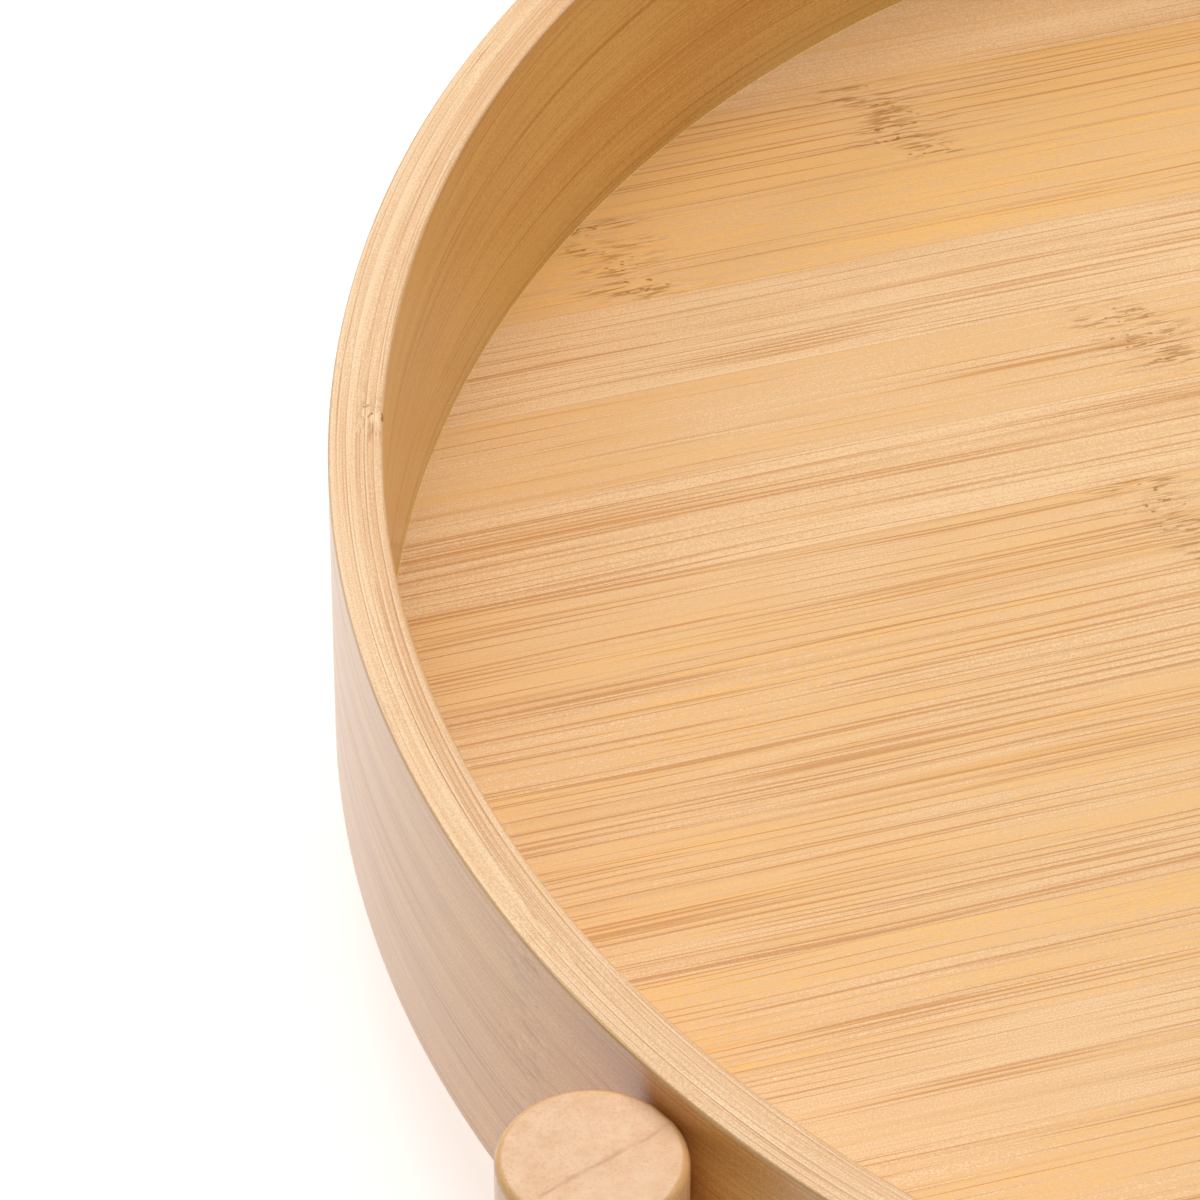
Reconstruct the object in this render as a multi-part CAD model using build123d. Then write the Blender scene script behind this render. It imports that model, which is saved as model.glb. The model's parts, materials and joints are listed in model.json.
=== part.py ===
from build123d import *
import math
import os

# A bamboo lazy susan: a rimmed round tray turns on a ball bearing above a small standing base.
# Millimetres, +Z up. The origin is on the table, on the turning axis. Each piece is written to its own file.

# Tray
TRAY_R = 195.0           # outside of the rim hoop
RIM_PLY = 1.3            # one bent bamboo ply
RIM_PLIES = 6
FLOOR_BOARD = 6.0        # thickness of the floor board, flush with the foot of the rim
TRAY_DEPTH = 45.0        # floor surface to the top of the rim
RIM_EDGE = 0.6           # rounding along the rim's edges
GLUE_LINE = 0.1          # glue between two bamboo pieces

# Grip posts on the outside of the rim
POST_COUNT = 4
POST_FIRST_ANGLE = 45.0
POST_R = 12.7
POST_INSET = 5.0         # the posts end this far inside the rim's two edges
POST_SEAT = 0.15         # depth of the hollow that the rim beds into
POST_EDGE = 1.5

# Base
BASE_R = 130.0
BASE_BOARD = 12.0
BASE_EDGE = 2.0
FOOT_COUNT = 4
FOOT_INSET = 22.0        # foot centres inside the base's edge
FOOT_TOP_R = 11.0
FOOT_TIP_R = 9.5
FOOT_HEIGHT = 7.0
FOOT_WEB = 2.8           # rubber between the washer and the base
FOOT_EDGE = 0.8

# Ball bearing
BALL_COUNT = 16
BALL_R = 2.5
BALL_CIRCLE_R = 60.0
RACE_PLAY = 0.05         # running clearance between a ball and its groove
RACE_GAP = 2.4           # between the fixed ring and the turning ring
RACE_LAND = 14.8         # width of the fixed ring, which takes the screws
RACE_HUB = 10.8          # width of the turning ring
RACE_WEB = 1.4           # plate of the fixed race
TURN_WEB = 2.0           # plate of the turning race
PLATE_BORE_R = 10.0
RACE_LIFT = 0.6          # the turning ring above the fixed plate
TOP_LIFT = 1.0           # the tray above the fixed ring
RACE_LIP = 0.5           # the fixed ring above the balls
CAGE_WALL = 1.4
CAGE_LIFT = 0.6          # the cage above the fixed plate
CAGE_RIM = 0.35          # cage left above and below each pocket
POCKET_PLAY = 0.15
CONTACT_ANGLE = 45.0     # where a ball touches its grooves

# Screws and washers
SCREW_R = 1.75
TIP_SHARE = 0.25         # a screw's tip radius as a share of its shank's
PILOT_PLAY = 0.05        # around a screw where it bites
HOLE_PLAY = 0.3          # around a screw where it passes through
FLAT_HEAD_R = 3.5
PAN_HEAD_R = 3.4
PAN_HEAD_HEIGHT = 2.0
PAN_HEAD_EDGE = 0.8
HEAD_SUNK = 0.3          # a flat head lies this far below its surface
DRIVE_SPAN = 3.0
DRIVE_WIDTH = 0.9
DRIVE_DEPTH = 1.2
SCREWS_PER_POST = 2
POST_SCREW_PITCH = 20.0
POST_SCREW_BITE = 12.0
RACE_SCREW_COUNT = 6
RACE_SCREW_BITE = 8.0
TRAY_SCREW_COUNT = 6
TRAY_SCREW_INSET = 12.0  # tray screw centres inside the turning ring
TRAY_SCREW_BITE = 4.5
FOOT_SCREW_BITE = 8.0
WASHER_R = 5.5
WASHER = 1.0
WASHER_PLAY = 0.2
ACCESS_R = 6.0           # screwdriver hole through the base, under one tray screw
EPS = 1.0                # a cut runs this far past the face that it opens

# Levels, from the table up
BASE_LOW = FOOT_HEIGHT
BASE_TOP = BASE_LOW + BASE_BOARD
BALL_Z = BASE_TOP + RACE_WEB + CAGE_LIFT + CAGE_RIM + POCKET_PLAY + BALL_R
CLAMP_RING = BALL_R + RACE_LIP
FIXED_TOP = BALL_Z + CLAMP_RING
TRAY_LOW = FIXED_TOP + TOP_LIFT
FLOOR_TOP = TRAY_LOW + FLOOR_BOARD
RIM_TOP = FLOOR_TOP + TRAY_DEPTH
RIM_INNER_R = TRAY_R - RIM_PLY * RIM_PLIES
POST_CIRCLE_R = TRAY_R + GLUE_LINE + POST_R - POST_SEAT
POST_LOW = TRAY_LOW + POST_INSET
POST_TOP = RIM_TOP - POST_INSET
POST_SCREW_MIDDLE = (FLOOR_TOP + RIM_TOP) / 2
FIXED_RING_R = BALL_CIRCLE_R + RACE_GAP / 2
TURN_RING_R = BALL_CIRCLE_R - RACE_GAP / 2
TRAY_SCREW_CIRCLE_R = TURN_RING_R - RACE_HUB - TRAY_SCREW_INSET
FOOT_CIRCLE_R = BASE_R - FOOT_INSET
RACE_SCREW_CIRCLE_R = FIXED_RING_R + RACE_LAND / 2
WASHER_TOP = FOOT_HEIGHT - FOOT_WEB

UP = (Align.CENTER, Align.CENTER, Align.MIN)


def rod(radius, low, high):
    """A plain upright cylinder about the turning axis."""
    return Pos(0, 0, low) * Cylinder(radius, high - low, align=UP)


def tube(outer, inner, low, high):
    """An upright ring about the turning axis."""
    return rod(outer, low, high) - rod(inner, low - EPS, high + EPS)


def around(count, radius, first_angle=0.0):
    """Places evenly round a circle, each with its X pointing outwards."""
    return list(PolarLocations(radius, count, first_angle))


def group(pieces):
    """Separate solids kept in one file."""
    return Compound(children=pieces)


def drive_cross(head_top):
    """The cross recess of a screw, below the head's top."""
    arm = Box(DRIVE_SPAN, DRIVE_WIDTH, DRIVE_DEPTH)
    return Pos(0, 0, head_top - DRIVE_DEPTH / 2) * (arm + Rot(0, 0, 90) * arm)


def flat_screw(length):
    """A countersunk wood screw, head up, with the middle of its head at the origin."""
    cone_height = FLAT_HEAD_R - SCREW_R
    point = SCREW_R
    head = Pos(0, 0, -cone_height) * Cone(SCREW_R, FLAT_HEAD_R, cone_height, align=UP)
    shank = Pos(0, 0, point - length) * Cylinder(SCREW_R, length - point, align=UP)
    tip = Pos(0, 0, -length) * Cone(SCREW_R * TIP_SHARE, SCREW_R, point, align=UP)
    return head + shank + tip - drive_cross(0)


def pan_screw(length):
    """A pan-head wood screw, head up, with the underside of its head at the origin."""
    point = SCREW_R
    head = Cylinder(PAN_HEAD_R, PAN_HEAD_HEIGHT, align=UP)
    head = fillet(head.edges().sort_by(Axis.Z)[-1], PAN_HEAD_EDGE)
    shank = Pos(0, 0, point - length) * Cylinder(SCREW_R, length - point, align=UP)
    tip = Pos(0, 0, -length) * Cone(SCREW_R * TIP_SHARE, SCREW_R, point, align=UP)
    return head + shank + tip - drive_cross(PAN_HEAD_HEIGHT)


def flat_screw_hole(through):
    """Clearance hole and countersink for a flat screw, mouth at the origin, running down."""
    cone_height = FLAT_HEAD_R - SCREW_R
    mouth_r = FLAT_HEAD_R + HOLE_PLAY
    mouth = Pos(0, 0, -HEAD_SUNK) * Cylinder(mouth_r, HEAD_SUNK + EPS, align=UP)
    sink = Pos(0, 0, -HEAD_SUNK - cone_height) * Cone(SCREW_R + HOLE_PLAY, mouth_r, cone_height, align=UP)
    hole = Pos(0, 0, -through - EPS) * Cylinder(SCREW_R + HOLE_PLAY, through + EPS, align=UP)
    return mouth + sink + hole


def ball_groove():
    """The ring of space that the balls roll in."""
    return Pos(0, 0, BALL_Z) * Torus(BALL_CIRCLE_R, BALL_R + RACE_PLAY)


def post_screw_places():
    """Mouths of the screw holes on the inside of the rim, each with its Z towards the turning axis."""
    places = []
    for place in around(POST_COUNT, RIM_INNER_R, POST_FIRST_ANGLE):
        for step in range(SCREWS_PER_POST):
            height = POST_SCREW_MIDDLE + (step - (SCREWS_PER_POST - 1) / 2) * POST_SCREW_PITCH
            places.append(Pos(0, 0, height) * place * Rot(0, -90, 0))
    return places


def make_tray_floor():
    board = rod(RIM_INNER_R - GLUE_LINE, TRAY_LOW, FLOOR_TOP)
    for place in around(TRAY_SCREW_COUNT, TRAY_SCREW_CIRCLE_R):
        pilot = Cylinder(SCREW_R + PILOT_PLAY, TRAY_SCREW_BITE + PILOT_PLAY + EPS, align=UP)
        board -= Pos(0, 0, TRAY_LOW - EPS) * place * pilot
    return board


def make_rim_hoop():
    hoop = tube(TRAY_R, RIM_INNER_R, TRAY_LOW, RIM_TOP)
    hoop = fillet(hoop.edges().filter_by(GeomType.CIRCLE), RIM_EDGE)
    for place in post_screw_places():
        hoop -= place * flat_screw_hole(RIM_PLY * RIM_PLIES)
    return hoop


def make_grip_post(place, screw_places):
    post = Pos(0, 0, POST_LOW) * place * Cylinder(POST_R, POST_TOP - POST_LOW, align=UP)
    post = fillet(post.edges().filter_by(GeomType.CIRCLE), POST_EDGE)
    post -= rod(TRAY_R + GLUE_LINE, POST_LOW - EPS, POST_TOP + EPS)
    reach = RIM_PLY * RIM_PLIES + POST_SCREW_BITE
    for screw_place in screw_places:
        post -= screw_place * Pos(0, 0, -reach) * Cylinder(SCREW_R + PILOT_PLAY, reach, align=UP)
    return post


def make_post_screws():
    length = RIM_PLY * RIM_PLIES + POST_SCREW_BITE - HEAD_SUNK - PILOT_PLAY
    return group([place * Pos(0, 0, -HEAD_SUNK) * flat_screw(length) for place in post_screw_places()])


def make_turning_race_plate():
    low = BASE_TOP + RACE_WEB + RACE_LIFT
    ring = tube(TURN_RING_R, TURN_RING_R - RACE_HUB, low, TRAY_LOW)
    web = tube(TURN_RING_R - RACE_HUB, PLATE_BORE_R, TRAY_LOW - TURN_WEB, TRAY_LOW)
    plate = ring + web - ball_groove()
    for place in around(TRAY_SCREW_COUNT, TRAY_SCREW_CIRCLE_R):
        plate -= place * rod(SCREW_R + HOLE_PLAY, TRAY_LOW - TURN_WEB - EPS, TRAY_LOW + EPS)
    return plate


def make_tray_screws():
    seat = TRAY_LOW - TURN_WEB
    screw = Rot(180, 0, 0) * pan_screw(TURN_WEB + TRAY_SCREW_BITE)
    return group([Pos(0, 0, seat) * place * screw for place in around(TRAY_SCREW_COUNT, TRAY_SCREW_CIRCLE_R)])


def make_bearing_balls():
    return group([Pos(0, 0, BALL_Z) * place * Sphere(BALL_R) for place in around(BALL_COUNT, BALL_CIRCLE_R)])


def make_ball_cage():
    half_wall = CAGE_WALL / 2
    low = BASE_TOP + RACE_WEB + CAGE_LIFT
    high = 2 * BALL_Z - low
    cage = tube(BALL_CIRCLE_R + half_wall, BALL_CIRCLE_R - half_wall, low, high)
    for place in around(BALL_COUNT, BALL_CIRCLE_R):
        pocket = Rot(0, 90, 0) * Cylinder(BALL_R + POCKET_PLAY, CAGE_WALL + 2 * EPS)
        cage -= Pos(0, 0, BALL_Z) * place * pocket
    return cage


def make_fixed_race_plate():
    ring = tube(FIXED_RING_R + RACE_LAND, FIXED_RING_R, BASE_TOP, BALL_Z)
    web = tube(FIXED_RING_R, PLATE_BORE_R, BASE_TOP, BASE_TOP + RACE_WEB)
    plate = ring + web - ball_groove()
    plate -= access_place() * rod(ACCESS_R, BASE_TOP - EPS, BALL_Z)
    for place in around(RACE_SCREW_COUNT, RACE_SCREW_CIRCLE_R):
        plate -= place * rod(SCREW_R + HOLE_PLAY, BASE_TOP - EPS, BALL_Z + EPS)
    return plate


def make_race_clamp_ring():
    ring = tube(FIXED_RING_R + RACE_LAND, FIXED_RING_R, BALL_Z, FIXED_TOP) - ball_groove()
    for place in around(RACE_SCREW_COUNT, RACE_SCREW_CIRCLE_R):
        ring -= Pos(0, 0, FIXED_TOP) * place * flat_screw_hole(CLAMP_RING)
    return ring


def make_race_screws():
    length = FIXED_TOP - BASE_TOP + RACE_SCREW_BITE - HEAD_SUNK
    screw = Pos(0, 0, FIXED_TOP - HEAD_SUNK) * flat_screw(length)
    return group([place * screw for place in around(RACE_SCREW_COUNT, RACE_SCREW_CIRCLE_R)])


def access_place():
    """Where the screwdriver hole lies: under the first tray screw."""
    return around(TRAY_SCREW_COUNT, TRAY_SCREW_CIRCLE_R)[0]


def foot_places():
    return around(FOOT_COUNT, FOOT_CIRCLE_R, POST_FIRST_ANGLE)


def make_base_disc():
    disc = rod(BASE_R, BASE_LOW, BASE_TOP)
    disc = fillet(disc.edges().filter_by(GeomType.CIRCLE), BASE_EDGE)
    disc -= access_place() * rod(ACCESS_R, BASE_LOW - EPS, BASE_TOP + EPS)
    pilot_r = SCREW_R + PILOT_PLAY
    for place in around(RACE_SCREW_COUNT, RACE_SCREW_CIRCLE_R):
        disc -= place * rod(pilot_r, BASE_TOP - RACE_SCREW_BITE - PILOT_PLAY, BASE_TOP + EPS)
    for place in foot_places():
        disc -= place * rod(pilot_r, BASE_LOW - EPS, BASE_LOW + FOOT_SCREW_BITE + PILOT_PLAY)
    return disc


def make_rubber_foot(place):
    foot = Cone(FOOT_TIP_R, FOOT_TOP_R, FOOT_HEIGHT, align=UP)
    foot = fillet(foot.edges().sort_by(Axis.Z)[0], FOOT_EDGE)
    foot -= rod(WASHER_R + WASHER_PLAY, -EPS, WASHER_TOP)
    foot -= rod(SCREW_R + HOLE_PLAY, 0, FOOT_HEIGHT + EPS)
    return place * foot


def make_foot_washers():
    washer = tube(WASHER_R, SCREW_R + HOLE_PLAY, WASHER_TOP - WASHER, WASHER_TOP)
    return group([place * washer for place in foot_places()])


def make_foot_screws():
    seat = WASHER_TOP - WASHER
    screw = Pos(0, 0, seat) * Rot(180, 0, 0) * pan_screw(BASE_LOW + FOOT_SCREW_BITE - seat)
    return group([place * screw for place in foot_places()])


def main():
    parts = {
        "tray_floor": make_tray_floor(),
        "rim_hoop": make_rim_hoop(),
        "post_screws": make_post_screws(),
        "turning_race_plate": make_turning_race_plate(),
        "tray_screws": make_tray_screws(),
        "bearing_balls": make_bearing_balls(),
        "ball_cage": make_ball_cage(),
        "fixed_race_plate": make_fixed_race_plate(),
        "race_clamp_ring": make_race_clamp_ring(),
        "race_screws": make_race_screws(),
        "base_disc": make_base_disc(),
        "foot_washers": make_foot_washers(),
        "foot_screws": make_foot_screws(),
    }
    screw_places = post_screw_places()
    for index, place in enumerate(around(POST_COUNT, POST_CIRCLE_R, POST_FIRST_ANGLE)):
        first = index * SCREWS_PER_POST
        own_screws = screw_places[first:first + SCREWS_PER_POST]
        parts[f"grip_post_{index + 1}"] = make_grip_post(place, own_screws)
    for index, place in enumerate(foot_places()):
        parts[f"rubber_foot_{index + 1}"] = make_rubber_foot(place)

    os.makedirs("parts", exist_ok=True)
    for name, part in parts.items():
        export_step(part, f"parts/{name}.step")
        print(name, len(part.solids()), "solids", round(part.volume / 1000, 2), "cm3")
    contact = BALL_R * math.cos(math.radians(CONTACT_ANGLE))
    ratio = (BALL_CIRCLE_R - contact) / (2 * BALL_CIRCLE_R)
    print("cage turns", round(ratio, 4), "as fast as the tray")
    print("floor", FLOOR_TOP, "rim top", RIM_TOP, "rim inner radius", RIM_INNER_R)


main()
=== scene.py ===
# %% [markdown]
# # A bamboo lazy susan
# The turntable comes in as a measured model: every part already has its size and its place, in metres,
# with +Z up and the turning axis at x = y = 0. This notebook adds what a measured model lacks: finer
# surfaces where the eye gets close, and finishes that look like lacquered bamboo, turned aluminium, zinc,
# nylon and rubber.

# %% Load the model
import json
import math

import bpy
import numpy as np
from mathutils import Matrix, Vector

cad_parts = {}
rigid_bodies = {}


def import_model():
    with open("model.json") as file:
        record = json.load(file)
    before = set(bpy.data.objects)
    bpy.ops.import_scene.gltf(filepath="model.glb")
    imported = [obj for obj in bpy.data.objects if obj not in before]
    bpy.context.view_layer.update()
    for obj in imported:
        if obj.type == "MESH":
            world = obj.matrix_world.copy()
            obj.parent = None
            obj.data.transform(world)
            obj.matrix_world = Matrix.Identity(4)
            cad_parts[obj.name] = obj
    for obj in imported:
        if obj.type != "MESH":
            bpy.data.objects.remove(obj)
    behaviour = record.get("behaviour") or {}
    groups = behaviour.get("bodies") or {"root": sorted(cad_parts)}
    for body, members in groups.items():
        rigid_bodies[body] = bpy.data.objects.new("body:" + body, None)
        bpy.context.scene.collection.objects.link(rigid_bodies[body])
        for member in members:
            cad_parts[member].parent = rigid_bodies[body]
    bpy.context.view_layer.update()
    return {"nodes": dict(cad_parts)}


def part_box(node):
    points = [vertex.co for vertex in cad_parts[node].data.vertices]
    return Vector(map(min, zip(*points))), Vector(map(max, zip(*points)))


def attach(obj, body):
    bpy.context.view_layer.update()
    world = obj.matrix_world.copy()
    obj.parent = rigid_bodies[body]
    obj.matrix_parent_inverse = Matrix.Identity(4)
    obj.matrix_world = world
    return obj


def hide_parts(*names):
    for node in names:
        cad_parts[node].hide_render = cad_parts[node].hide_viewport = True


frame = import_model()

print("parts:", len(frame["nodes"]))

# %% [markdown]
# ## Measures
# Each measure is read from the model, so that a change of size there carries through to everything here.
# Only small things that the model does not name, such as one ply of the rim, are given as numbers.

# %% Measures from the model
MM = 0.001
hoop_low, hoop_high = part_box("rim_hoop")
board_low, board_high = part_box("tray_floor")

TRAY_R = hoop_high.x
RIM_FOOT, RIM_TOP = hoop_low.z, hoop_high.z
FLOOR_TOP = board_high.z
GLUE_LINE = 0.1 * MM
RIM_INNER_R = board_high.x + GLUE_LINE
RIM_WALL = TRAY_R - RIM_INNER_R
PLIES = 6
PLY = RIM_WALL / PLIES
posts = [name for name in sorted(frame["nodes"]) if name.startswith("grip_post_")]
print(f"tray radius {TRAY_R / MM:.1f} mm, rim wall {RIM_WALL / MM:.2f} mm, posts {posts}")

# %% [markdown]
# ## The camera
# A long lens from well back keeps circles calm and shows one side of the rim close up. The stand is given
# round the turning axis, in tray radii, so the picture stays the same if the tray grows.

# %% Camera
STAND_BEARING = math.radians(-96.1)
STAND_AWAY = 4.407 * TRAY_R
STAND_ABOVE_RIM = 3.870 * TRAY_R
LOOK_BEARING = math.radians(94.404)
LOOK_DOWN = math.radians(42.982)
LENS_MM = 241.32

camera_data = bpy.data.cameras.new("camera")
camera_data.lens = LENS_MM
camera_data.sensor_width = 36
camera = bpy.data.objects.new("camera", camera_data)
bpy.context.scene.collection.objects.link(camera)
camera.location = (
    STAND_AWAY * math.cos(STAND_BEARING),
    STAND_AWAY * math.sin(STAND_BEARING),
    RIM_TOP + STAND_ABOVE_RIM,
)
camera.rotation_euler = (math.pi / 2 - LOOK_DOWN, 0, LOOK_BEARING - math.pi / 2)
bpy.context.scene.camera = camera
print("camera at", [round(x, 3) for x in camera.location])

# %% [markdown]
# ## Wiring helpers
# A procedural finish is a chain of small nodes. Helpers keep the chains short to read: one adds any node,
# some do arithmetic, one turns a range into a soft mask, and one blends two colours.


# %% Helpers for shader nodes
def paint(red, green, blue):
    """A colour as a paint card gives it, 0 to 255 on screen, turned into the linear light that shaders
    use."""
    share = np.array([red, green, blue]) / 255
    linear = np.where(share <= 0.04045, share / 12.92, ((share + 0.055) / 1.055) ** 2.4)
    return (*linear.tolist(), 1.0)


def add(tree, kind, sockets, **options):
    """Adds a node, sets its options, then fills each named socket with a value or a link."""
    node = tree.nodes.new(kind)
    for name, value in options.items():
        setattr(node, name, value)
    for name, value in sockets.items():
        if isinstance(value, bpy.types.NodeSocket):
            tree.links.new(value, node.inputs[name])
        else:
            node.inputs[name].default_value = value
    return node


def calc(tree, operation, *values):
    """One step of arithmetic on numbers or links."""
    return add(tree, "ShaderNodeMath", dict(enumerate(values)), operation=operation).outputs[0]


def plus(tree, first, second):
    """The sum of two numbers or links."""
    return calc(tree, "ADD", first, second)


def minus(tree, first, second):
    """The first less the second."""
    return calc(tree, "SUBTRACT", first, second)


def times(tree, first, second):
    """The product."""
    return calc(tree, "MULTIPLY", first, second)


def move(tree, operation, *values):
    """One step of arithmetic on places or directions."""
    return add(tree, "ShaderNodeVectorMath", dict(enumerate(values)), operation=operation).outputs["Vector"]


def mask(tree, value, start, end, low=0.0, high=1.0):
    """Runs smoothly from low, where the value is start, to high, where it is end."""
    sockets = {"Value": value, "From Min": start, "From Max": end, "To Min": low, "To Max": high}
    return add(tree, "ShaderNodeMapRange", sockets, interpolation_type="SMOOTHSTEP").outputs["Result"]


def blend(tree, share, first, second, way="MIX"):
    """Mixes two colours by a share from 0 to 1."""
    return add(tree, "ShaderNodeMix", {0: share, 6: first, 7: second}, data_type="RGBA",
               blend_type=way).outputs[2]


def noise(tree, place, stretch, detail=2.0, rough=0.5):
    """Soft random values from 0 to 1, stretched by a count of waves per metre on each axis."""
    scaled = move(tree, "MULTIPLY", place, stretch)
    sockets = {"Vector": scaled, "Scale": 1.0, "Detail": detail, "Roughness": rough}
    return add(tree, "ShaderNodeTexNoise", sockets).outputs["Fac"]


def split(tree, vector):
    """The three parts of a place or colour."""
    return add(tree, "ShaderNodeSeparateXYZ", {0: vector}).outputs


def join(tree, x, y, z):
    """A place made from three numbers."""
    return add(tree, "ShaderNodeCombineXYZ", {0: x, 1: y, 2: z}).outputs[0]


# %% Helpers for groups and finishes
NUMBER, PLACE, COLOUR = "NodeSocketFloat", "NodeSocketVector", "NodeSocketColor"


def start_group(name, takes, gives):
    """An empty node group with named inputs and outputs; gives back its tree, its inputs and its
    outputs."""
    tree = bpy.data.node_groups.new(name, "ShaderNodeTree")
    for title, kind, value in takes:
        socket = tree.interface.new_socket(title, in_out="INPUT", socket_type=kind)
        socket.default_value = value
    for title, kind in gives:
        tree.interface.new_socket(title, in_out="OUTPUT", socket_type=kind)
    return tree, tree.nodes.new("NodeGroupInput").outputs, tree.nodes.new("NodeGroupOutput").inputs


def use(tree, group, sockets):
    """Places a finished group in a material and gives back its outputs."""
    return add(tree, "ShaderNodeGroup", sockets, node_tree=group).outputs


def start_finish(name):
    """The material of a slot, emptied, with a fresh shader; gives back its tree, its shader and object
    places."""
    material = bpy.data.materials.get(name) or bpy.data.materials.new(name)
    material.use_nodes = True
    tree = material.node_tree
    tree.nodes.clear()
    shader = tree.nodes.new("ShaderNodeBsdfPrincipled")
    output = tree.nodes.new("ShaderNodeOutputMaterial")
    tree.links.new(shader.outputs[0], output.inputs["Surface"])
    places = tree.nodes.new("ShaderNodeTexCoord").outputs["Object"]
    return tree, shader, places


def dress(tree, shader, colour, roughness):
    """Gives a shader its colour and its roughness over the surface."""
    tree.links.new(colour, shader.inputs["Base Color"])
    tree.links.new(roughness, shader.inputs["Roughness"])


def lacquer(shader, weight, roughness):
    """A clear coat, the same all over."""
    shader.inputs["Coat Weight"].default_value = weight
    shader.inputs["Coat Roughness"].default_value = roughness


def relief(tree, shader, height, depth, strength=1.0):
    """Lets a height mask of 0 to 1 tilt the surface, as if it stood out by the depth in metres."""
    sockets = {"Height": height, "Distance": depth, "Strength": strength}
    tree.links.new(add(tree, "ShaderNodeBump", sockets).outputs[0], shader.inputs["Normal"])


print("helpers ready")

# %% [markdown]
# ## The studio
# The table is a large pale sheet under soft light. A wide window stands behind and to the left, so the
# lacquer on the outside of the rim picks up a milky sheen on that side, and the inside of the rim stays
# in its own warm shade. A large panel above fills the tray floor evenly, and a weaker one behind lifts
# the far strips.

# %% Table, sky and soft lights
TABLE_SIDE = 6.0
TABLE_TOP = -0.05 * MM


def soft_light(name, place, aim, size, power):
    """A square area light at a place, turned so that its face looks at the aim."""
    data = bpy.data.lights.new(name, "AREA")
    data.size = size
    data.energy = power
    light = bpy.data.objects.new(name, data)
    bpy.context.scene.collection.objects.link(light)
    light.location = place
    toward = np.array(aim) - np.array(place)
    level = math.hypot(toward[0], toward[1])
    light.rotation_euler = (math.pi / 2 + math.atan2(toward[2], level), 0,
                            math.atan2(toward[1], toward[0]) - math.pi / 2)
    return light


def make_table():
    """A flat square sheet with a faint paper tooth, a hair below the feet, so that no two faces
    coincide."""
    half = TABLE_SIDE / 2
    mesh = bpy.data.meshes.new("table")
    corners = [(-half, -half), (half, -half), (half, half), (-half, half)]
    mesh.from_pydata([(x, y, TABLE_TOP) for x, y in corners], [], [(0, 1, 2, 3)])
    table = bpy.data.objects.new("table", mesh)
    bpy.context.scene.collection.objects.link(table)
    tree, shader, places = start_finish("table")
    shader.inputs["Base Color"].default_value = paint(205, 205, 208)
    shader.inputs["Roughness"].default_value = 0.9
    shader.inputs["Emission Color"].default_value = paint(255, 255, 255)
    shader.inputs["Emission Strength"].default_value = 0.62
    relief(tree, shader, noise(tree, places, (400, 400, 400)), 0.05 * MM)
    mesh.materials.append(bpy.data.materials["table"])


make_table()
AIM = (0, 0, 0.05)
soft_light("window", (-1.05, 1.0, 1.15), AIM, 1.2, 11.6)
soft_light("top_panel", (0.2, 0.1, 1.8), AIM, 1.8, 30.6)
soft_light("back_panel", (0, 1.2, 1.5), AIM, 1.4, 5.0)
world = bpy.data.worlds.new("sky")
world.use_nodes = True
world.node_tree.nodes["Background"].inputs["Color"].default_value = (1, 1, 1, 1)
world.node_tree.nodes["Background"].inputs["Strength"].default_value = 0.03
bpy.context.scene.world = world
bpy.context.scene.view_settings.view_transform = "Standard"

# %% [markdown]
# ## How bamboo looks close up
# A bamboo strip is a bundle of long straight fibres. Three things show: thin dark lines where a fibre
# bundle is cut open, broad soft bands where the strip is paler or warmer, and a fine sparkle in the
# lacquer. One group draws all three from a place in metres given as along the fibre, across it and
# through the thickness. Because it is a solid pattern, a face cut square to the fibres shows dots by
# itself, as real end grain does.


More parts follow.
